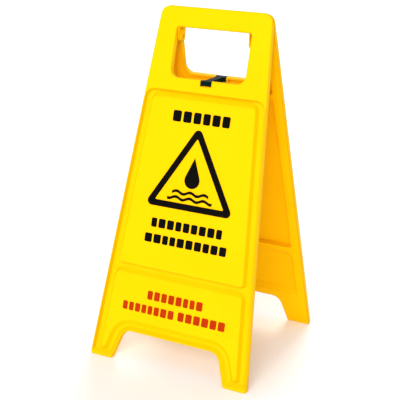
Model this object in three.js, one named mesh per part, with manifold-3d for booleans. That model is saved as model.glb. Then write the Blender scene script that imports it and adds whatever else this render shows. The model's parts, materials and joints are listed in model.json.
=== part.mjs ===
// A folding wet floor sign: two identical moulded panels, hinged inside their hand windows by two
// short pins, and held open by a drop-in stay. Millimetres, +Z up, standing on z = 0 with its centre
// on the Z axis. The front panel faces -Y.
//
// A panel is drawn in its own frame: u (x) runs across, v (y) runs up the panel from its feet, and
// w (z) points out of its printed face, which lies at w = 0.

import * as THREE from 'three';
import { mergeVertices } from 'three/addons/utils/BufferGeometryUtils.js';
import Module from 'manifold-3d';

const wasm = await Module();
wasm.setup();

// ---- Driving dimensions -------------------------------------------------------------------------

const PANEL_LENGTH = 620;
const BOTTOM_WIDTH = 300;
const TOP_WIDTH = 202;
const LEAN = THREE.MathUtils.degToRad(14.5); // each panel, from upright, with the sign open
const HALF_SPREAD = 159; // from the centre plane to the foot of a printed face

const RIM_DEPTH = 11; // whole depth of the moulding
const WALL = 3;
const CHANNEL_DEPTH = 7; // of the groove that frames the two printed fields
const CHANNEL_FLOOR_FILLET = 1; // height of the softened foot of the groove's walls
const SOLE_WALL = 5;
const ARCH_LIP_RUN = 5; // slope of the lip along the arch, from the face down to the groove's floor
const SOLE_LIP_RUN = 8;
const OUTER_EDGE_RADIUS = 1.8;
const CHANNEL_EDGE_RADIUS = 0.8;
const EDGE_STEPS = 3; // straight pieces in one rounded edge
const CORNER_STEPS = 5; // straight pieces in one rounded corner

const FOOT_INNER_HALF_WIDTH = 108; // between the feet, at the floor
const ARCH_HALF_WIDTH = 90.2; // between the feet, at the top of the arch
const ARCH_HEIGHT = 55;
const ARCH_RADIUS = 20;
const FOOT_RADIUS = 4;
const TOP_RADIUS = 16;

const UPPER_FIELD = { bottom: 171.5, top: 465 };
const LOWER_FIELD = { top: 155 };
const CHANNEL_TOP = 477.5;
const FIELD_SIDE_MARGIN = 18;
const FIELD_SIDE_FOOT = 14; // the same margin, at the bottom of the groove
const FIELD_CORNER_RADIUS = 6;
const HOLLOW_BACK_SIDE = FIELD_SIDE_FOOT + WALL; // side margins of the hollows, at the panel's back
const HOLLOW_FRONT_SIDE = FIELD_SIDE_MARGIN + WALL; // and at the hollows' floors
const RAMP_RUN = 11.5; // slope above each field
const LOWER_FIELD_FOOT = { sole: 14.5, inner: 15, arch: 10.5 }; // its margins at the groove's floor
const LOWER_FIELD_FACE = { sole: 17, inner: 20, arch: 20 };

const WINDOW = { halfWidth: 69, bottom: 501, top: 586, bottomRadius: 15, topRadius: 5 };
const NOTCH = { halfWidth: 10.3, bottom: 490.2 };

const HINGE_HEIGHT = 549;
const HINGE_PIN_RADIUS = 2.5;
const HINGE_BORE_RADIUS = 2.9;
const HINGE_LUG_RADIUS = 8;
const LUG_THICKNESS = 3;
const OUTER_LUG_START = 65.4; // distance of the lug's near face from the middle of the sign
const INNER_LUG_START = 62;
const LUG_HEADROOM = 3; // above the lugs, where the top bars start to be cut back
const LUG_ROOT = { front: -3, back: -9, height: 588 };

const STAY_BOTTOM = 475.4;
const STAY_HEIGHT = 8;
const STAY_HEAD_WIDTH = 20;
const STAY_WAIST_WIDTH = 13;
const STAY_FRONT_END = 35.5; // from the centre plane
const STAY_HEAD_LENGTH = 10;
const STAY_HEEL_LENGTH = 6; // behind the pivot
const STAY_PIVOT_DEPTH = -5.5; // w of the pivot in its panel's notch
const STAY_PIN_RADIUS = 1.5;
const STAY_BORE_RADIUS = 1.9;
const STAY_PIN_HALF_LENGTH = 13.6;

const CENTRE_GAP = 0.35; // from the centre plane to each top bar
const FILM_GAP = 0.3;
const FILM_THICKNESS = 0.4;
const OVERSHOOT = 1; // how far a cutter runs past the face that it cuts
const HALF_BLOCK = 400; // half the side of a cutting block larger than the sign

// ---- Materials ----------------------------------------------------------------------------------

const yellowPlastic = new THREE.MeshStandardMaterial({ color: 0xffe004, roughness: 0.42, metalness: 0 });
const darkPlastic = new THREE.MeshStandardMaterial({ color: 0x18302f, roughness: 0.5, metalness: 0 });
const steel = new THREE.MeshStandardMaterial({ color: 0xb9bcc0, roughness: 0.35, metalness: 1 });
const blackPrint = new THREE.MeshStandardMaterial({ color: 0x14140f, roughness: 0.6, metalness: 0 });
const redPrint = new THREE.MeshStandardMaterial({ color: 0xd93a08, roughness: 0.6, metalness: 0 });

// ---- Outlines -----------------------------------------------------------------------------------

const corner = (u, v, radius) => ({ point: new THREE.Vector2(u, v), radius });

const halfWidthAt = (v) => (BOTTOM_WIDTH - ((BOTTOM_WIDTH - TOP_WIDTH) * v) / PANEL_LENGTH) / 2;

/** Direction of the edge that leaves corner i of a counter-clockwise outline. */
function edgeDirection(corners, i) {
  const next = corners[(i + 1) % corners.length].point;
  return next.clone().sub(corners[i].point).normalize();
}

/** Moves each edge i inwards by insets[i], and keeps the corners' round stretches concentric. */
function insetCorners(corners, insets) {
  const count = corners.length;
  return corners.map(({ point, radius }, i) => {
    const before = (i + count - 1) % count;
    const incoming = edgeDirection(corners, before);
    const outgoing = edgeDirection(corners, i);
    const turn = incoming.cross(outgoing);
    const alongOutgoing = -insets[before] / turn;
    const alongIncoming = -insets[i] / turn;
    const moved = point.clone();
    moved.addScaledVector(outgoing, -alongOutgoing);
    moved.addScaledVector(incoming, alongIncoming);
    const inset = Math.min(insets[before], insets[i]);
    const keptRadius = Math.max(radius - Math.sign(turn) * inset, 1.5);
    return { point: moved, radius: keptRadius };
  });
}

/** Points of an outline, with each corner rounded to its radius. */
function roundedRing(corners) {
  const ring = [];
  corners.forEach(({ point, radius }, i) => {
    const incoming = edgeDirection(corners, (i + corners.length - 1) % corners.length);
    const outgoing = edgeDirection(corners, i);
    const turn = Math.atan2(incoming.cross(outgoing), incoming.dot(outgoing));
    const tangentLength = radius * Math.tan(Math.abs(turn) / 2);
    const start = point.clone().addScaledVector(incoming, -tangentLength);
    const side = Math.sign(turn);
    const toCentre = new THREE.Vector2(-incoming.y * side, incoming.x * side);
    const centre = start.clone().addScaledVector(toCentre, radius);
    for (let step = 0; step <= CORNER_STEPS; step += 1) {
      ring.push(start.clone().rotateAround(centre, (turn * step) / CORNER_STEPS));
    }
  });
  return ring;
}

/** The panel's outline up to height v, counter-clockwise from the left foot. */
function panelCorners(top, topRadius) {
  return [
    corner(-BOTTOM_WIDTH / 2, 0, FOOT_RADIUS),
    corner(-FOOT_INNER_HALF_WIDTH, 0, FOOT_RADIUS),
    corner(-ARCH_HALF_WIDTH, ARCH_HEIGHT, ARCH_RADIUS),
    corner(ARCH_HALF_WIDTH, ARCH_HEIGHT, ARCH_RADIUS),
    corner(FOOT_INNER_HALF_WIDTH, 0, FOOT_RADIUS),
    corner(BOTTOM_WIDTH / 2, 0, FOOT_RADIUS),
    corner(halfWidthAt(top), top, topRadius),
    corner(-halfWidthAt(top), top, topRadius),
  ];
}

function panelInsets({ sole, inner, arch, side, top }) {
  return [sole, inner, arch, inner, sole, side, top, side];
}

/** A stretch of the panel between two heights, with its slanted sides. */
function bandCorners(bottom, top, radius) {
  return [
    corner(-halfWidthAt(bottom), bottom, radius),
    corner(halfWidthAt(bottom), bottom, radius),
    corner(halfWidthAt(top), top, radius),
    corner(-halfWidthAt(top), top, radius),
  ];
}

const bandInsets = ({ bottom, side, top }) => [bottom, side, top, side];

function rectangleCorners(left, right, bottom, top, radius) {
  return [
    corner(left, bottom, radius),
    corner(right, bottom, radius),
    corner(right, top, radius),
    corner(left, top, radius),
  ];
}

// ---- Solids -------------------------------------------------------------------------------------

/** A closed surface through rings of equal length, each at its own height w. */
function loft(levels) {
  const positions = levels.flatMap(({ ring, w }) => ring.flatMap((p) => [p.x, p.y, w]));
  const count = levels[0].ring.length;
  const last = (levels.length - 1) * count;
  const index = [];
  for (let level = 0; level < levels.length - 1; level += 1) {
    for (let i = 0; i < count; i += 1) {
      const next = (i + 1) % count;
      const low = level * count;
      const high = low + count;
      index.push(low + i, low + next, high + next);
      index.push(low + i, high + next, high + i);
    }
  }
  for (const [a, b, c] of THREE.ShapeUtils.triangulateShape(levels[0].ring, [])) {
    index.push(c, b, a);
  }
  for (const [a, b, c] of THREE.ShapeUtils.triangulateShape(levels[levels.length - 1].ring, [])) {
    index.push(last + a, last + b, last + c);
  }
  const geometry = new THREE.BufferGeometry();
  geometry.setAttribute('position', new THREE.Float32BufferAttribute(positions, 3));
  geometry.setIndex(index);
  return geometry;
}

const prism = (ring, from, to) => loft([{ ring, w: from }, { ring, w: to }]);

/** A prism whose section is drawn in (v, w) and which runs along u. */
function prismAcross(ring, from, to) {
  const turn = new THREE.Matrix4().makeBasis(
    new THREE.Vector3(0, 1, 0),
    new THREE.Vector3(0, 0, 1),
    new THREE.Vector3(1, 0, 0),
  );
  return prism(ring, from, to).applyMatrix4(turn);
}

function toSolid(geometry) {
  const bare = geometry.clone();
  bare.deleteAttribute('normal');
  bare.deleteAttribute('uv');
  const merged = mergeVertices(bare, 1e-4);
  const mesh = new wasm.Mesh({
    numProp: 3,
    vertProperties: new Float32Array(merged.attributes.position.array),
    triVerts: new Uint32Array(merged.index.array),
  });
  return new wasm.Manifold(mesh);
}

function toGeometry(solid) {
  const mesh = solid.getMesh();
  const indexed = new THREE.BufferGeometry();
  indexed.setAttribute('position', new THREE.Float32BufferAttribute(mesh.vertProperties, 3));
  indexed.setIndex(new THREE.Uint32BufferAttribute(mesh.triVerts, 1));
  const geometry = indexed.toNonIndexed();
  geometry.computeVertexNormals();
  return geometry;
}

const cut = (solid, ...cutters) => cutters.reduce((rest, cutter) => rest.subtract(toSolid(cutter)), solid);

const join = (solid, ...pieces) => pieces.reduce((whole, piece) => whole.add(toSolid(piece)), solid);

/** A round bar along X, centred on the origin. */
function barAcross(radius, length) {
  return new THREE.CylinderGeometry(radius, radius, length, 20).rotateZ(Math.PI / 2);
}

// ---- Where the panel frame lies in the open sign ------------------------------------------------

const frontPlacement = new THREE.Matrix4()
  .makeTranslation(0, -HALF_SPREAD, 0)
  .multiply(new THREE.Matrix4().makeRotationX(Math.PI / 2 - LEAN));
const intoPanel = frontPlacement.clone().invert();

/** A point of the open sign, in the front panel's frame. */
const panelPoint = (x, y, z) => new THREE.Vector3(x, y, z).applyMatrix4(intoPanel);

const hinge = panelPoint(0, 0, HINGE_HEIGHT);
const stayMiddle = STAY_BOTTOM + STAY_HEIGHT / 2;
const stayPivot = new THREE.Vector3(
  0,
  (stayMiddle - STAY_PIVOT_DEPTH * Math.sin(LEAN)) / Math.cos(LEAN),
  STAY_PIVOT_DEPTH,
);
const stayPivotSpread = -stayPivot.clone().applyMatrix4(frontPlacement).y;

// ---- The panel ----------------------------------------------------------------------------------

/** Levels of a rounded edge that ends in the printed face: how far in it lies at each w. */
function roundedEdge(radius) {
  const levels = [];
  for (let step = 0; step <= EDGE_STEPS; step += 1) {
    const angle = (Math.PI / 2) * (step / EDGE_STEPS);
    levels.push({ inset: radius * (1 - Math.cos(angle)), w: radius * (Math.sin(angle) - 1) });
  }
  return levels;
}

/** An outline moved inwards all round by one distance, and rounded. */
const evenlyInset = (corners, inset) => roundedRing(insetCorners(corners, corners.map(() => inset)));

/** The outer block, with its front edge rounded. */
function panelBlock() {
  const corners = panelCorners(PANEL_LENGTH, TOP_RADIUS);
  const edge = roundedEdge(OUTER_EDGE_RADIUS);
  const front = edge.map(({ inset, w }) => ({ ring: evenlyInset(corners, inset), w }));
  return toSolid(loft([{ ring: roundedRing(corners), w: -RIM_DEPTH }, ...front]));
}

/** The whole sunk area, before the raised fields are kept back from it. */
function channelArea() {
  const corners = panelCorners(CHANNEL_TOP, TOP_RADIUS);
  const edge = roundedEdge(CHANNEL_EDGE_RADIUS).map(({ inset, w }) => ({ w, draft: -inset }));
  const walls = [
    { w: -CHANNEL_DEPTH, draft: 1.2 },
    { w: CHANNEL_FLOOR_FILLET - CHANNEL_DEPTH, draft: 0.4 },
    ...edge,
    { ...edge[EDGE_STEPS], w: OVERSHOOT },
  ];
  return toSolid(loft(walls.map(({ w, draft }) => {
    const lip = WALL + draft;
    const depthShare = Math.max(-w, 0) / CHANNEL_DEPTH;
    const insets = panelInsets({
      sole: SOLE_WALL + draft + SOLE_LIP_RUN * depthShare,
      inner: lip + ARCH_LIP_RUN * depthShare,
      arch: lip + ARCH_LIP_RUN * depthShare,
      side: lip,
      top: draft,
    });
    return { ring: roundedRing(insetCorners(corners, insets)), w };
  })));
}

/** A raised field, from its margins at the groove's floor to those at the printed face. */
function raisedField(corners, floorInsets, faceInsets) {
  const profile = [
    { w: -CHANNEL_DEPTH - OVERSHOOT, share: 0 },
    { w: -CHANNEL_DEPTH, share: 0 },
    { w: CHANNEL_FLOOR_FILLET - CHANNEL_DEPTH, share: 0.28 },
    { w: -2, share: 0.76 },
    { w: -0.6, share: 0.9 },
    { w: 0, share: 1.06 },
    { w: 2 * OVERSHOOT, share: 1.06 },
  ];
  return toSolid(loft(profile.map(({ w, share }) => {
    const insets = floorInsets.map((floor, i) => THREE.MathUtils.lerp(floor, faceInsets[i], share));
    return { ring: roundedRing(insetCorners(corners, insets)), w };
  })));
}

function upperField() {
  return raisedField(
    bandCorners(UPPER_FIELD.bottom, UPPER_FIELD.top, FIELD_CORNER_RADIUS),
    bandInsets({ bottom: -1, side: FIELD_SIDE_FOOT, top: -RAMP_RUN }),
    bandInsets({ bottom: 0, side: FIELD_SIDE_MARGIN, top: 0 }),
  );
}

/** The lower field, whose two tongues run down the feet. */
function lowerField() {
  return raisedField(
    panelCorners(LOWER_FIELD.top, FIELD_CORNER_RADIUS),
    panelInsets({ ...LOWER_FIELD_FOOT, side: FIELD_SIDE_FOOT, top: -RAMP_RUN }),
    panelInsets({ ...LOWER_FIELD_FACE, side: FIELD_SIDE_MARGIN, top: 0 }),
  );
}

/** The hollow behind a raised stretch, one wall thinner all round. */
function hollowBehind(bottom, top, backInsets, frontInsets) {
  const corners = bandCorners(bottom, top, FIELD_CORNER_RADIUS);
  const back = roundedRing(insetCorners(corners, bandInsets(backInsets)));
  const front = roundedRing(insetCorners(corners, bandInsets(frontInsets)));
  return loft([
    { ring: back, w: -RIM_DEPTH - OVERSHOOT },
    { ring: back, w: -RIM_DEPTH },
    { ring: front, w: -WALL },
  ]);
}

function fieldHollows() {
  const rampBack = WALL - RAMP_RUN;
  const upper = hollowBehind(
    UPPER_FIELD.bottom,
    UPPER_FIELD.top,
    { bottom: WALL, side: HOLLOW_BACK_SIDE, top: rampBack },
    { bottom: WALL, side: HOLLOW_FRONT_SIDE, top: WALL },
  );
  const lower = hollowBehind(
    ARCH_HEIGHT,
    LOWER_FIELD.top,
    { bottom: LOWER_FIELD_FOOT.arch + WALL, side: HOLLOW_BACK_SIDE, top: rampBack },
    { bottom: LOWER_FIELD_FACE.arch + WALL, side: HOLLOW_FRONT_SIDE, top: WALL },
  );
  return [upper, lower];
}

function windowCorners() {
  const { halfWidth, bottom, top, bottomRadius, topRadius } = WINDOW;
  return [
    corner(-halfWidth, bottom, bottomRadius),
    corner(halfWidth, bottom, bottomRadius),
    corner(halfWidth, top, topRadius),
    corner(-halfWidth, top, topRadius),
  ];
}

/** The hand window, right through, with its front edge rounded. */
function windowCutter() {
  const corners = windowCorners();
  const edge = roundedEdge(OUTER_EDGE_RADIUS);
  const front = edge.map(({ inset, w }) => ({ ring: evenlyInset(corners, -inset), w }));
  return loft([
    { ring: roundedRing(corners), w: -RIM_DEPTH - OVERSHOOT },
    ...front,
    { ...front[EDGE_STEPS], w: OVERSHOOT },
  ]);
}

/** The notch in the window's sill, open at its top, that takes an end of the stay. */
function notchCutter() {
  const { halfWidth, bottom } = NOTCH;
  const corners = rectangleCorners(-halfWidth, halfWidth, bottom, WINDOW.bottom + OVERSHOOT, 0.5);
  return prism(roundedRing(corners), -RIM_DEPTH - OVERSHOOT, OVERSHOOT);
}

/** The hollow behind the handle, less the walls that stand round the window and the notch. */
function handleHollow() {
  const hollow = toSolid(hollowBehind(
    CHANNEL_TOP,
    PANEL_LENGTH,
    { bottom: WALL, side: HOLLOW_BACK_SIDE, top: WALL },
    { bottom: WALL, side: HOLLOW_FRONT_SIDE, top: WALL },
  ));
  const windowWalls = insetCorners(windowCorners(), windowCorners().map(() => -WALL));
  const notchWalls = rectangleCorners(
    -NOTCH.halfWidth - WALL,
    NOTCH.halfWidth + WALL,
    NOTCH.bottom - WALL,
    WINDOW.bottom,
    1,
  );
  const from = -RIM_DEPTH - 2 * OVERSHOOT;
  return cut(hollow, prism(roundedRing(windowWalls), from, 0), prism(roundedRing(notchWalls), from, 0));
}

/** The point where a line from an outside point touches a circle, on the chosen side (+1 or -1). */
function tangentPoint(centre, radius, from, side) {
  const offset = from.clone().sub(centre);
  const swing = Math.acos(radius / offset.length());
  return offset.setLength(radius).rotateAround(new THREE.Vector2(), side * swing).add(centre);
}

/** A hinge lug: a round eye on the hinge axis, hung from the underside of the top bar. */
function hingeLug(from) {
  const eye = new THREE.Vector2(hinge.y, hinge.z);
  const frontRoot = new THREE.Vector2(LUG_ROOT.height, LUG_ROOT.front);
  const backRoot = new THREE.Vector2(LUG_ROOT.height, LUG_ROOT.back);
  const frontTouch = tangentPoint(eye, HINGE_LUG_RADIUS, frontRoot, 1);
  const backTouch = tangentPoint(eye, HINGE_LUG_RADIUS, backRoot, -1);
  const startAngle = frontTouch.clone().sub(eye).angle();
  const endAngle = backTouch.clone().sub(eye).angle();
  const steps = 16;
  const ring = [backRoot, frontRoot];
  for (let step = 0; step <= steps; step += 1) {
    const angle = THREE.MathUtils.lerp(startAngle, endAngle, step / steps);
    const onEye = new THREE.Vector2(Math.cos(angle), Math.sin(angle)).multiplyScalar(HINGE_LUG_RADIUS);
    ring.push(onEye.add(eye));
  }
  return prismAcross(ring, from, from + LUG_THICKNESS);
}

/** Everything beyond a plane of the open sign, as a large block in the panel's frame. */
function beyond(centreX, centreY, centreZ) {
  return new THREE.BoxGeometry(2 * HALF_BLOCK, 2 * HALF_BLOCK, 2 * HALF_BLOCK)
    .translate(centreX, centreY, centreZ)
    .applyMatrix4(intoPanel);
}

/** The bores for the hinge pins, through the lugs, and for the stay pin, through the notch's walls. */
function pinBores() {
  const hingeBore = barAcross(HINGE_BORE_RADIUS, 2 * WINDOW.halfWidth - 0.4).translate(0, hinge.y, hinge.z);
  const stayBore = barAcross(STAY_BORE_RADIUS, 2 * (STAY_PIN_HALF_LENGTH + OVERSHOOT));
  return [hingeBore, stayBore.translate(0, stayPivot.y, stayPivot.z)];
}

/** What is cut away so that the soles lie flat on the floor and the two top bars can meet. */
function trims() {
  const lugTop = HINGE_HEIGHT + HINGE_LUG_RADIUS;
  return [
    beyond(0, 0, -HALF_BLOCK),
    beyond(0, HALF_BLOCK - CENTRE_GAP, lugTop + LUG_HEADROOM + HALF_BLOCK),
  ];
}

function panelGeometry() {
  const groove = channelArea().subtract(upperField()).subtract(lowerField());
  const shell = cut(panelBlock().subtract(groove).subtract(handleHollow()), ...fieldHollows());
  const opened = cut(shell, windowCutter(), notchCutter());
  const withLugs = join(opened, hingeLug(-OUTER_LUG_START - LUG_THICKNESS), hingeLug(INNER_LUG_START));
  return toGeometry(cut(withLugs, ...trims(), ...pinBores()));
}

// ---- Hinge pins, stay and stay pin --------------------------------------------------------------

/** A plain pin along X with softened ends. */
function pinGeometry(radius, start, end) {
  const soft = 0.3;
  const profile = [
    [0, start],
    [radius - soft, start],
    [radius, start + soft],
    [radius, end - soft],
    [radius - soft, end],
    [0, end],
  ];
  const points = profile.map(([out, along]) => new THREE.Vector2(out, along));
  return new THREE.LatheGeometry(points, 20).rotateZ(-Math.PI / 2);
}

/** The right hinge pin: a short dowel through both lugs, its ends just inside their faces. */
function hingePinGeometry() {
  const recess = 0.2;
  return pinGeometry(HINGE_PIN_RADIUS, INNER_LUG_START + recess, OUTER_LUG_START + LUG_THICKNESS - recess);
}

/** The stay seen from above: two wide heads and a narrower waist, along the sign's Y. */
function stayPlan() {
  const head = STAY_HEAD_WIDTH / 2;
  const waist = STAY_WAIST_WIDTH / 2;
  const front = -STAY_FRONT_END;
  const back = stayPivotSpread + STAY_HEEL_LENGTH;
  const frontNeck = front + STAY_HEAD_LENGTH;
  const backNeck = back - STAY_HEAD_LENGTH - 2;
  const shoulder = 5;
  return [
    corner(-head, front, 1.5),
    corner(head, front, 1.5),
    corner(head, frontNeck, 2),
    corner(waist, frontNeck + shoulder, 4),
    corner(waist, backNeck - shoulder, 4),
    corner(head, backNeck, 2),
    corner(head, back, 0.8),
    corner(-head, back, 0.8),
    corner(-head, backNeck, 2),
    corner(-waist, backNeck - shoulder, 4),
    corner(-waist, frontNeck + shoulder, 4),
    corner(-head, frontNeck, 2),
  ];
}

/** The stay seen from the side. Its heel is round below, and square above, where it is the stop. */
function staySide() {
  const top = STAY_BOTTOM + STAY_HEIGHT;
  const back = stayPivotSpread + STAY_HEEL_LENGTH;
  return [
    corner(-STAY_FRONT_END, STAY_BOTTOM, 1),
    corner(back, STAY_BOTTOM, STAY_HEIGHT / 2),
    corner(back, top, 0.6),
    corner(-STAY_FRONT_END, top, 1),
  ];
}

function stayGeometry() {
  const top = STAY_BOTTOM + STAY_HEIGHT;
  const plan = prism(roundedRing(stayPlan()), STAY_BOTTOM - OVERSHOOT, top + OVERSHOOT);
  const side = prismAcross(roundedRing(staySide()), -STAY_HEAD_WIDTH, STAY_HEAD_WIDTH);
  const bore = barAcross(STAY_BORE_RADIUS, 2 * STAY_HEAD_WIDTH).translate(0, stayPivotSpread, stayMiddle);
  return toGeometry(cut(toSolid(plan).intersect(toSolid(side)), bore));
}

// ---- Printed legends: thin films on the face of each panel ---------------------------------------

const film = (ring) => prism(ring, FILM_GAP, FILM_GAP + FILM_THICKNESS);

function barFilm(left, right, bottom, top) {
  return film(roundedRing(rectangleCorners(left, right, bottom, top, 2)));
}

/** An equal-sided warning triangle, drawn as a band of even width. */
function triangleFilm() {
  const base = 280;
  const height = 145;
  const band = 11;
  const halfBase = height / Math.sqrt(3);
  const outer = [corner(-halfBase, base, 8), corner(halfBase, base, 8), corner(0, base + height, 8)];
  const inner = insetCorners(outer, outer.map(() => band));
  const opening = prism(roundedRing(inner), 0, 1);
  return toGeometry(cut(toSolid(film(roundedRing(outer))), opening));
}

/** A water drop: a circle drawn out to a point above. */
function dropFilm() {
  const centre = new THREE.Vector2(0, 332);
  const radius = 14;
  const tip = new THREE.Vector2(0, 370);
  const startAngle = tangentPoint(centre, radius, tip, 1).sub(centre).angle();
  const endAngle = startAngle + 2 * Math.PI - 2 * Math.acos(radius / centre.distanceTo(tip));
  const steps = 28;
  const ring = [tip];
  for (let step = 0; step <= steps; step += 1) {
    const angle = THREE.MathUtils.lerp(startAngle, endAngle, step / steps);
    ring.push(new THREE.Vector2(centre.x + radius * Math.cos(angle), centre.y + radius * Math.sin(angle)));
  }
  return film(ring);
}

/** A wavy line of even height, for water on the floor. */
function waveFilm(middle, halfLength) {
  const halfHeight = 2.4;
  const swell = 2.2;
  const waveLength = 26;
  const steps = 32;
  const line = [];
  for (let step = 0; step <= steps; step += 1) {
    const u = THREE.MathUtils.lerp(-halfLength, halfLength, step / steps);
    line.push(new THREE.Vector2(u, middle + swell * Math.cos((2 * Math.PI * u) / waveLength)));
  }
  const below = line.map((p) => new THREE.Vector2(p.x, p.y - halfHeight));
  const above = line.map((p) => new THREE.Vector2(p.x, p.y + halfHeight)).reverse();
  return film([...below, ...above]);
}

const legends = [
  { name: 'heading_print', geometry: barFilm(-52, 54, 427, 446), material: blackPrint },
  { name: 'triangle_print', geometry: triangleFilm(), material: blackPrint },
  { name: 'drop_print', geometry: dropFilm(), material: blackPrint },
  { name: 'upper_wave_print', geometry: waveFilm(309, 34), material: blackPrint },
  { name: 'lower_wave_print', geometry: waveFilm(299, 42), material: blackPrint },
  { name: 'first_line_print', geometry: barFilm(-65, 68, 243, 259), material: blackPrint },
  { name: 'second_line_print', geometry: barFilm(-74, 80, 216, 231.5), material: blackPrint },
  { name: 'first_red_print', geometry: barFilm(-53, 52, 117.5, 133), material: redPrint },
  { name: 'left_red_print', geometry: barFilm(-98, 1, 92, 107), material: redPrint },
  { name: 'right_red_print', geometry: barFilm(9, 97, 92.5, 108), material: redPrint },
];

// ---- Assembly -----------------------------------------------------------------------------------

function namedMesh(name, geometry, material) {
  const mesh = new THREE.Mesh(geometry, material);
  mesh.name = name;
  return mesh;
}

/** One panel with its printed legends, in the panel's frame, stood up as the front panel. */
function panelGroup(side, panel) {
  const group = new THREE.Group();
  group.add(namedMesh(`${side}_panel`, panel, yellowPlastic));
  for (const { name, geometry, material } of legends) {
    group.add(namedMesh(`${side}_${name}`, geometry, material));
  }
  group.position.set(0, -HALF_SPREAD, 0);
  group.rotation.x = Math.PI / 2 - LEAN;
  return group;
}

function assembleSign() {
  const sign = new THREE.Group();
  const panel = panelGeometry();
  sign.add(panelGroup('front', panel));

  const backHalf = new THREE.Group();
  backHalf.rotation.z = Math.PI;
  backHalf.add(panelGroup('back', panel));
  sign.add(backHalf);

  const rightPin = namedMesh('hinge_pin_right', hingePinGeometry(), yellowPlastic);
  rightPin.position.z = HINGE_HEIGHT;
  const leftPin = namedMesh('hinge_pin_left', hingePinGeometry(), yellowPlastic);
  leftPin.position.z = HINGE_HEIGHT;
  leftPin.rotation.z = Math.PI;
  sign.add(rightPin, leftPin);

  const stayPinShape = pinGeometry(STAY_PIN_RADIUS, -STAY_PIN_HALF_LENGTH, STAY_PIN_HALF_LENGTH);
  const stayPin = namedMesh('stay_pin', stayPinShape, steel);
  stayPin.position.set(0, stayPivotSpread, stayMiddle);
  sign.add(namedMesh('stay', stayGeometry(), darkPlastic), stayPin);
  return sign;
}

export default assembleSign();
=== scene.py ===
"""A folding wet floor sign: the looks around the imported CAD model. Blender 4.5, metres, +Z up."""

import json
import math
import random

import bmesh
import bpy
from mathutils import Matrix, Vector


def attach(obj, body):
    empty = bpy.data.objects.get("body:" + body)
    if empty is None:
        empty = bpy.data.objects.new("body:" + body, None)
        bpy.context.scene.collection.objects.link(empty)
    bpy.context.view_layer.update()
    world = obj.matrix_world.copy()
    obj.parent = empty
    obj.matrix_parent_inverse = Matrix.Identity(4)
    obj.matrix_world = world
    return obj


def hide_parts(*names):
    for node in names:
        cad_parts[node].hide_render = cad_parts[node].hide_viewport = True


MM = 0.001

# ---- The photograph's viewpoint ----
VIEW_AZIMUTH = math.radians(25.58)  # towards +X from straight in front
VIEW_ELEVATION = math.radians(17.75)
VIEW_ROLL = math.radians(1.92)
VIEW_DISTANCE = 1.650
VIEW_TARGET = Vector((-0.0203, 0.0, 0.2633))
VIEW_LENS = 83.46
SENSOR_WIDTH = 36.0

# ---- Studio ----
FLOOR_SIZE = 60.0
WORLD_STRENGTH = 0.70
LIGHT_AIM = Vector((0, 0, 0.3))
LIGHTS = [  # name, place, diameter in metres, power in watts
    ("key_softbox", Vector((1.0, -6.5, 3.0)), 5.0, 410.0),
    ("rear_softbox", Vector((-1.6, 6.4, 4.2)), 4.0, 350.0),
]

# ---- Moulded edges ----
PANEL_EDGE = 0.7 * MM
STAY_EDGE = 0.9 * MM
PIN_EDGE = 0.25 * MM
EDGE_SEGMENTS = 3
ROUNDED_ANGLE = math.radians(35)  # edges that turn more than this are rounded
SHARP_ANGLE = math.radians(40)  # edges that still turn more than this are shaded sharp
FLAT_ANGLE = math.radians(0.4)  # facets that turn less than this are joined
WELD_DISTANCE = 0.004 * MM

# ---- Printed legends ----
PRINTED_LINES = [  # line, number of blocks in it, slot of its ink
    ("heading", 6, "black_print"),
    ("first_line", 9, "black_print"),
    ("second_line", 10, "black_print"),
    ("first_red", 8, "red_print"),
    ("left_red", 8, "red_print"),
    ("right_red", 6, "red_print"),
]
PRINTED_SHAPES = ("triangle", "drop", "upper_wave", "lower_wave")
FILM_GAP = 0.3 * MM  # between a panel's face and the CAD's films
INK_LIFT = 0.05 * MM
INK_THICKNESS = 0.15 * MM
BLOCK_GAP = 0.20  # between two blocks, in block heights
BLOCK_RADIUS = 0.16  # of a block's corners, in block heights
BLOCK_WIDTHS = (0.85, 1.15)  # narrowest and widest, before a row is fitted to its line
BLOCK_CORNER_STEPS = 5

# ---- Colours, linear ----
YELLOW_DEEP = (0.93, 0.505, 0.0)
YELLOW_BRIGHT = (0.96, 0.535, 0.0005)
YELLOW_SCUFFED = (0.90, 0.52, 0.05)
# painted shade: darker orange laid along the outward edges
YELLOW_EDGE_SHADE = (0.50, 0.21, 0.0)
# painted shade: darker orange laid in the creases and hollows
YELLOW_CREASE_SHADE = (0.70, 0.24, 0.0)
FLOOR_GRIME = (0.30, 0.16, 0.02)
BLACK_INK = ((0.0010, 0.0010, 0.0008), (0.0030, 0.0026, 0.0020))
RED_INK = ((0.40, 0.024, 0.0), (0.46, 0.034, 0.001))
NYLON = ((0.0006, 0.0075, 0.0055), (0.0015, 0.0150, 0.0115))
STEEL_BRIGHT = (0.62, 0.63, 0.64)
STEEL_TARNISHED = (0.43, 0.41, 0.38)
FLOOR = ((0.93, 0.93, 0.93), (0.95, 0.95, 0.95))

# ---- Wear, dirt and painted shade on the yellow plastic ----
EDGE_SHADE_REACH = 2.4 * MM
CREASE_SHADE_REACH = 7.0 * MM
GRIME_HEIGHT = 25 * MM
SCUFF_SHARE = 0.35  # of its own colour that each kind of wear, dirt or painted shade brings at its strongest
EDGE_SHADE_SHARE = 0.75
CREASE_SHADE_SHARE = 0.30
GRIME_SHARE = 0.12

MOST_OF_NOISE = (0.3, 0.7)  # nearly all noise values lie between these
MIX_COLOUR_INPUTS = (6, 7)  # of the Mix node, whose socket names repeat for each data type
MIX_COLOUR_OUTPUT = 2

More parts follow.
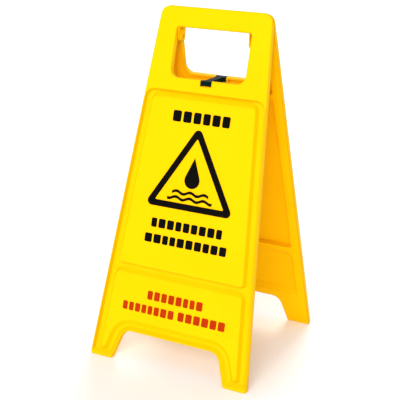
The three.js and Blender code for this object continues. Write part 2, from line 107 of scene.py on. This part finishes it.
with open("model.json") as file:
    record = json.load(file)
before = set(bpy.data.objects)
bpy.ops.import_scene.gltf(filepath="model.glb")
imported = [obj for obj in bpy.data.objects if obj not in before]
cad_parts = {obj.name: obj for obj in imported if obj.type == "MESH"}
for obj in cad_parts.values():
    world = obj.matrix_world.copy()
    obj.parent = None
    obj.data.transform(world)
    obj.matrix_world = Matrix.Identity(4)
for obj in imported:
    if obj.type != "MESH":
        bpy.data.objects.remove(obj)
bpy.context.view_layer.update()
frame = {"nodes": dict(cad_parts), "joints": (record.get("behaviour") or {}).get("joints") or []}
LEAN = math.radians(frame["joints"][0]["range_deg"][1]) / 2  # half of the way that the sign folds


# ---- Shader nodes ----

def new_material(name):
    material = bpy.data.materials.new(name)
    material.use_nodes = True
    tree = material.node_tree
    tree.nodes.clear()
    shader = tree.nodes.new("ShaderNodeBsdfPrincipled")
    output = tree.nodes.new("ShaderNodeOutputMaterial")
    tree.links.new(shader.outputs["BSDF"], output.inputs["Surface"])
    return material, tree, shader


def object_coordinates(tree):
    return tree.nodes.new("ShaderNodeTexCoord").outputs["Object"]


def noise(tree, where, scale, detail, roughness=0.5):
    node = tree.nodes.new("ShaderNodeTexNoise")
    node.inputs["Scale"].default_value = scale
    node.inputs["Detail"].default_value = detail
    node.inputs["Roughness"].default_value = roughness
    tree.links.new(where, node.inputs["Vector"])
    return node.outputs["Fac"]


def stretched(tree, where, scale):
    node = tree.nodes.new("ShaderNodeMapping")
    node.inputs["Scale"].default_value = scale
    tree.links.new(where, node.inputs["Vector"])
    return node.outputs["Vector"]


def remap(tree, value, window, result=(0.0, 1.0)):
    """Spreads the values in a window, from low to high, over the range of the result."""
    node = tree.nodes.new("ShaderNodeMapRange")
    node.clamp = True
    for socket, number in zip(("From Min", "From Max", "To Min", "To Max"), (*window, *result)):
        node.inputs[socket].default_value = number
    tree.links.new(value, node.inputs["Value"])
    return node.outputs["Result"]


def combine(tree, operation, first, *others):
    """Joins values from left to right, each of them a socket or a number."""
    result = first
    for other in others:
        node = tree.nodes.new("ShaderNodeMath")
        node.operation = operation
        for socket, value in zip(node.inputs, (result, other)):
            if isinstance(value, (int, float)):
                socket.default_value = value
            else:
                tree.links.new(value, socket)
        result = node.outputs["Value"]
    return result


def mix_colours(tree, share, first, second):
    """The first colour, with a share of the second; each is a socket or a tuple."""
    node = tree.nodes.new("ShaderNodeMix")
    node.data_type = "RGBA"
    tree.links.new(share, node.inputs["Factor"])
    for index, colour in zip(MIX_COLOUR_INPUTS, (first, second)):
        if isinstance(colour, tuple):
            node.inputs[index].default_value = (*colour, 1.0)
        else:
            tree.links.new(colour, node.inputs[index])
    return node.outputs[MIX_COLOUR_OUTPUT]


def layer_colours(tree, base, layers):
    """Lays colours over the base one after another, each by its own share."""
    result = base
    for share, colour in layers:
        result = mix_colours(tree, share, result, colour)
    return result


def add_bump(tree, shader, height, strength, depth):
    """Lays one more bump over those that the shader already has."""
    bump = tree.nodes.new("ShaderNodeBump")
    bump.inputs["Strength"].default_value = strength
    bump.inputs["Distance"].default_value = depth
    tree.links.new(height, bump.inputs["Height"])
    normal = shader.inputs["Normal"]
    if normal.is_linked:
        tree.links.new(normal.links[0].from_socket, bump.inputs["Normal"])
    tree.links.new(bump.outputs["Normal"], normal)


def set_gloss(shader, ior, highlight):
    shader.inputs["IOR"].default_value = ior
    shader.inputs["Specular IOR Level"].default_value = highlight


def height_above_floor(tree, where):
    split = tree.nodes.new("ShaderNodeSeparateXYZ")
    tree.links.new(where, split.inputs["Vector"])
    return split.outputs["Z"]


def beside_edges(tree, outward, reach, fullest, none):
    """Mask for painted shade: 1 beside the solid's outward edges, or else in its creases, fading to 0
    away from them.
    """
    node = tree.nodes.new("ShaderNodeAmbientOcclusion")
    node.inside = outward
    node.only_local = True
    node.samples = 8
    node.inputs["Distance"].default_value = reach
    return remap(tree, node.outputs["AO"], (fullest, none), (1.0, 0.0))


# ---- Materials ----

def scuff_marks(tree, where):
    """Thin upright scratches, gathered in patches."""
    drawn_out = stretched(tree, where, (420.0, 420.0, 26.0))
    scratches = noise(tree, drawn_out, scale=1.0, detail=5.0, roughness=0.6)
    patches = noise(tree, where, scale=23.0, detail=3.0)
    return combine(tree, "MULTIPLY",
                   remap(tree, scratches, (0.62, 0.72)),
                   remap(tree, patches, (0.55, 0.68)))


def floor_grime(tree, where):
    """Faint smudges on the ends of the feet."""
    near_floor = remap(tree, height_above_floor(tree, where), (0.0, GRIME_HEIGHT), (1.0, 0.0))
    smudges = remap(tree, noise(tree, where, scale=95.0, detail=5.0, roughness=0.6), (0.42, 0.66))
    return combine(tree, "MULTIPLY", near_floor, smudges, GRIME_SHARE)


def yellow_plastic():
    """Bright moulded polypropylene: faint flow clouds, fine grain, scuffs, and painted shade along
    the outward edges and in the creases.
    """
    material, tree, shader = new_material("yellow_polypropylene")
    where = object_coordinates(tree)
    clouds = remap(tree, noise(tree, where, scale=9.0, detail=4.0), MOST_OF_NOISE)
    scuffs = scuff_marks(tree, where)
    # mask of the painted shade along the outward edges
    edges = beside_edges(tree, outward=True, reach=EDGE_SHADE_REACH, fullest=0.45, none=0.95)
    # mask of the painted shade in the creases and hollows
    creases = beside_edges(tree, outward=False, reach=CREASE_SHADE_REACH, fullest=0.45, none=0.80)
    grime = floor_grime(tree, where)
    colour = layer_colours(tree, YELLOW_DEEP, [
        (clouds, YELLOW_BRIGHT),
        (combine(tree, "MULTIPLY", scuffs, SCUFF_SHARE), YELLOW_SCUFFED),
        # painted shade along the outward edges
        (combine(tree, "MULTIPLY", edges, EDGE_SHADE_SHARE), YELLOW_EDGE_SHADE),
        # painted shade in the creases and hollows
        (combine(tree, "MULTIPLY", creases, CREASE_SHADE_SHARE), YELLOW_CREASE_SHADE),
        (grime, FLOOR_GRIME),
    ])
    tree.links.new(colour, shader.inputs["Base Color"])
    satin = remap(tree, noise(tree, where, scale=31.0, detail=4.0), MOST_OF_NOISE, (0.40, 0.52))
    rough = combine(tree, "ADD", satin,
                    combine(tree, "MULTIPLY", scuffs, 0.16),
                    combine(tree, "MULTIPLY", grime, 0.3))
    tree.links.new(rough, shader.inputs["Roughness"])
    set_gloss(shader, ior=1.49, highlight=0.025)
    sinks = noise(tree, where, scale=14.0, detail=2.0)
    grain = noise(tree, where, scale=1500.0, detail=2.0)
    add_bump(tree, shader, sinks, strength=0.25, depth=0.5 * MM)
    add_bump(tree, shader, grain, strength=0.12, depth=0.05 * MM)
    add_bump(tree, shader, scuffs, strength=0.15, depth=0.04 * MM)
    return material


def ink(name, colours):
    """Screen-printed ink: slightly uneven density, a patchy sheen and a fine screen grain."""
    material, tree, shader = new_material(name)
    where = object_coordinates(tree)
    density = remap(tree, noise(tree, where, scale=60.0, detail=4.0), MOST_OF_NOISE)
    tree.links.new(mix_colours(tree, density, *colours), shader.inputs["Base Color"])
    rough = remap(tree, noise(tree, where, scale=240.0, detail=3.0), MOST_OF_NOISE, (0.50, 0.65))
    tree.links.new(rough, shader.inputs["Roughness"])
    set_gloss(shader, ior=1.45, highlight=0.04)
    grain = noise(tree, where, scale=2600.0, detail=2.0)
    add_bump(tree, shader, grain, strength=0.15, depth=0.03 * MM)
    return material


def dark_plastic():
    """Dark green-black nylon with a fine moulded grain, rubbed smoother in patches."""
    material, tree, shader = new_material("dark_green_nylon")
    where = object_coordinates(tree)
    window = (0.35, 0.65)
    tone = remap(tree, noise(tree, where, scale=120.0, detail=4.0), window)
    tree.links.new(mix_colours(tree, tone, *NYLON), shader.inputs["Base Color"])
    rough = remap(tree, noise(tree, where, scale=300.0, detail=4.0), window, (0.42, 0.58))
    tree.links.new(rough, shader.inputs["Roughness"])
    set_gloss(shader, ior=1.53, highlight=0.006)
    ripple = noise(tree, where, scale=90.0, detail=2.0)
    grain = noise(tree, where, scale=2200.0, detail=2.0)
    add_bump(tree, shader, ripple, strength=0.2, depth=0.2 * MM)
    add_bump(tree, shader, grain, strength=0.25, depth=0.05 * MM)
    return material


def drawn_steel():
    """Bright drawn wire: fine lines round the pin and slight tarnish."""
    material, tree, shader = new_material("drawn_steel")
    where = object_coordinates(tree)
    tarnish = remap(tree, noise(tree, where, scale=500.0, detail=4.0), (0.4, 0.7))
    tree.links.new(mix_colours(tree, tarnish, STEEL_BRIGHT, STEEL_TARNISHED),
                   shader.inputs["Base Color"])
    ringed = stretched(tree, where, (9000.0, 600.0, 600.0))
    lines = noise(tree, ringed, scale=1.0, detail=2.0)
    tree.links.new(remap(tree, lines, MOST_OF_NOISE, (0.22, 0.38)), shader.inputs["Roughness"])
    shader.inputs["Metallic"].default_value = 1.0
    add_bump(tree, shader, lines, strength=0.2, depth=0.02 * MM)
    return material


def pale_floor():
    material, tree, shader = new_material("pale_floor")
    where = object_coordinates(tree)
    tone = remap(tree, noise(tree, where, scale=3.0, detail=3.0), MOST_OF_NOISE)
    tree.links.new(mix_colours(tree, tone, *FLOOR), shader.inputs["Base Color"])
    rough = remap(tree, noise(tree, where, scale=40.0, detail=3.0), MOST_OF_NOISE, (0.75, 0.85))
    tree.links.new(rough, shader.inputs["Roughness"])
    return material


# ---- Pieces ----

def add_object(name, data):
    made = bpy.data.objects.new(name, data)
    bpy.context.scene.collection.objects.link(made)
    return made


def set_material(piece, material):
    piece.data.materials.clear()
    piece.data.materials.append(material)


def shade_smooth(mesh):
    for polygon in mesh.polygons:
        polygon.use_smooth = True


def finish_piece(piece, node, material, body):
    """Shades a piece, gives it its material and lets it stand for its CAD node."""
    shade_smooth(piece.data)
    piece.data.set_sharp_from_angle(angle=SHARP_ANGLE)
    set_material(piece, material)
    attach(piece, body)
    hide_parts(node)


def joined_facets(node):
    """A copy of a CAD solid's mesh, with the facets of each flat face joined."""
    mesh = frame["nodes"][node].data.copy()
    work = bmesh.new()
    work.from_mesh(mesh)
    bmesh.ops.remove_doubles(work, verts=work.verts, dist=WELD_DISTANCE)
    bmesh.ops.dissolve_limit(work, angle_limit=FLAT_ANGLE, verts=work.verts, edges=work.edges)
    work.to_mesh(mesh)
    work.free()
    return mesh


def round_edges(piece, width):
    shade_smooth(piece.data)
    bevel = piece.modifiers.new("rounded_edges", "BEVEL")
    bevel.width = width
    bevel.segments = EDGE_SEGMENTS
    bevel.limit_method = "ANGLE"
    bevel.angle_limit = ROUNDED_ANGLE
    bevel.use_clamp_overlap = True
    weights = piece.modifiers.new("even_shading", "WEIGHTED_NORMAL")
    weights.keep_sharp = True
    graph = bpy.context.evaluated_depsgraph_get()
    rounded = bpy.data.meshes.new_from_object(piece.evaluated_get(graph))
    piece.modifiers.clear()
    piece.data = rounded


def moulded_copy(node, name, edge, material, body):
    """A copy of a CAD solid with its sharp edges rounded, standing for the solid."""
    piece = add_object(name, joined_facets(node))
    round_edges(piece, edge)
    finish_piece(piece, node, material, body)


def panel_axes(side):
    """Unit vectors across, up and out of a panel's printed face, as a matrix's rows."""
    turn = 1 if side == "front" else -1
    across = Vector((turn, 0, 0))
    up = Vector((0, turn * math.sin(LEAN), math.cos(LEAN)))
    out = Vector((0, -turn * math.cos(LEAN), math.sin(LEAN)))
    return Matrix((across, up, out))


def extent_on_panel(node, axes):
    """Lowest and highest place of a CAD film along the panel's own axes."""
    places = [axes @ vertex.co for vertex in frame["nodes"][node].data.vertices]
    low = Vector([min(place[i] for place in places) for i in range(3)])
    high = Vector([max(place[i] for place in places) for i in range(3)])
    return low, high


def rounded_block(low, high, radius):
    """Outline of one rounded block, counter-clockwise."""
    corners = [  # centre across, centre up, direction in degrees at which the corner starts
        (high.x - radius, low.y + radius, -90),
        (high.x - radius, high.y - radius, 0),
        (low.x + radius, high.y - radius, 90),
        (low.x + radius, low.y + radius, 180),
    ]
    outline = []
    for centre_x, centre_y, start in corners:
        for step in range(BLOCK_CORNER_STEPS + 1):
            angle = math.radians(start + 90 * step / BLOCK_CORNER_STEPS)
            outline.append((centre_x + radius * math.cos(angle), centre_y + radius * math.sin(angle)))
    return outline


def add_prism(work, outline, bottom, top, to_world):
    lower = [work.verts.new(to_world @ Vector((x, y, bottom))) for x, y in outline]
    upper = [work.verts.new(to_world @ Vector((x, y, top))) for x, y in outline]
    work.faces.new(lower[::-1])
    work.faces.new(upper)
    for i, low_vertex in enumerate(lower):
        following = (i + 1) % len(lower)
        work.faces.new((low_vertex, lower[following], upper[following], upper[i]))


def block_row(side, line, blocks, seed, material):
    """A printed line as a row of plain rounded blocks, filling the CAD film's own outline."""
    node = f"{side}_{line}_print"
    axes = panel_axes(side)
    to_world = axes.transposed()
    low, high = extent_on_panel(node, axes)
    height = high.y - low.y
    gap = BLOCK_GAP * height
    draw = random.Random(seed)
    shares = [draw.uniform(*BLOCK_WIDTHS) for _ in range(blocks)]
    unit = (high.x - low.x - gap * (blocks - 1)) / sum(shares)
    bottom = low.z - FILM_GAP + INK_LIFT
    work = bmesh.new()
    left = low.x
    for share in shares:
        right = left + unit * share
        outline = rounded_block(Vector((left, low.y)), Vector((right, high.y)), BLOCK_RADIUS * height)
        add_prism(work, outline, bottom, bottom + INK_THICKNESS, to_world)
        left = right + gap
    mesh = bpy.data.meshes.new(f"{node}_blocks")
    work.to_mesh(mesh)
    work.free()
    piece = add_object(f"{node}_blocks", mesh)
    finish_piece(piece, node, material, f"{side}_leaf")


def printed_legends(side, inks):
    for seed, (line, blocks, slot) in enumerate(PRINTED_LINES):
        block_row(side, line, blocks, seed, inks[slot])
    for shape in PRINTED_SHAPES:
        set_material(frame["nodes"][f"{side}_{shape}_print"], inks["black_print"])


def build_sign():
    yellow = yellow_plastic()
    inks = {
        "black_print": ink("black_ink", BLACK_INK),
        "red_print": ink("red_ink", RED_INK),
    }
    for side in ("front", "back"):
        moulded_copy(f"{side}_panel", f"{side}_panel_moulding", PANEL_EDGE, yellow,
                     f"{side}_leaf")
        printed_legends(side, inks)
    moulded_copy("stay", "stay_moulding", STAY_EDGE, dark_plastic(), "stay_arm")
    for pin in ("hinge_pin_left", "hinge_pin_right"):
        moulded_copy(pin, f"{pin}_dowel", PIN_EDGE, yellow, "front_leaf")
    moulded_copy("stay_pin", "stay_pin_wire", PIN_EDGE, drawn_steel(), "back_leaf")


# ---- Floor, light and camera ----

def lay_floor():
    bpy.ops.mesh.primitive_plane_add(size=FLOOR_SIZE, location=(0, 0, 0))
    floor = bpy.context.object
    floor.name = "studio_floor"
    set_material(floor, pale_floor())


def add_softbox(name, place, diameter, power):
    data = bpy.data.lights.new(name, "AREA")
    data.shape = "DISK"
    data.size = diameter
    data.energy = power
    light = add_object(name, data)
    light.location = place
    light.rotation_euler = (LIGHT_AIM - place).to_track_quat("-Z", "Y").to_euler()


def light_studio():
    world = bpy.data.worlds.new("soft_studio")
    world.use_nodes = True
    background = world.node_tree.nodes["Background"]
    background.inputs["Color"].default_value = (1.0, 1.0, 1.0, 1.0)
    background.inputs["Strength"].default_value = WORLD_STRENGTH
    bpy.context.scene.world = world
    for light in LIGHTS:
        add_softbox(*light)


def place_camera():
    back = Vector((
        math.sin(VIEW_AZIMUTH) * math.cos(VIEW_ELEVATION),
        -math.cos(VIEW_AZIMUTH) * math.cos(VIEW_ELEVATION),
        math.sin(VIEW_ELEVATION),
    ))
    right = Vector((0, 0, 1)).cross(back).normalized()
    up = back.cross(right)
    rolled_right = math.cos(VIEW_ROLL) * right + math.sin(VIEW_ROLL) * up
    rolled_up = math.cos(VIEW_ROLL) * up - math.sin(VIEW_ROLL) * right
    data = bpy.data.cameras.new("photo_camera")
    data.lens = VIEW_LENS
    data.sensor_width = SENSOR_WIDTH
    camera = add_object("photo_camera", data)
    turn = Matrix((rolled_right, rolled_up, back)).transposed().to_4x4()
    camera.matrix_world = Matrix.Translation(VIEW_TARGET + VIEW_DISTANCE * back) @ turn
    bpy.context.scene.camera = camera


def set_plain_colour():
    """Shows colours as they are, without a film-like curve."""
    bpy.context.scene.view_settings.view_transform = "Standard"
    bpy.context.scene.view_settings.look = "None"


build_sign()
lay_floor()
light_studio()
place_camera()
set_plain_colour()
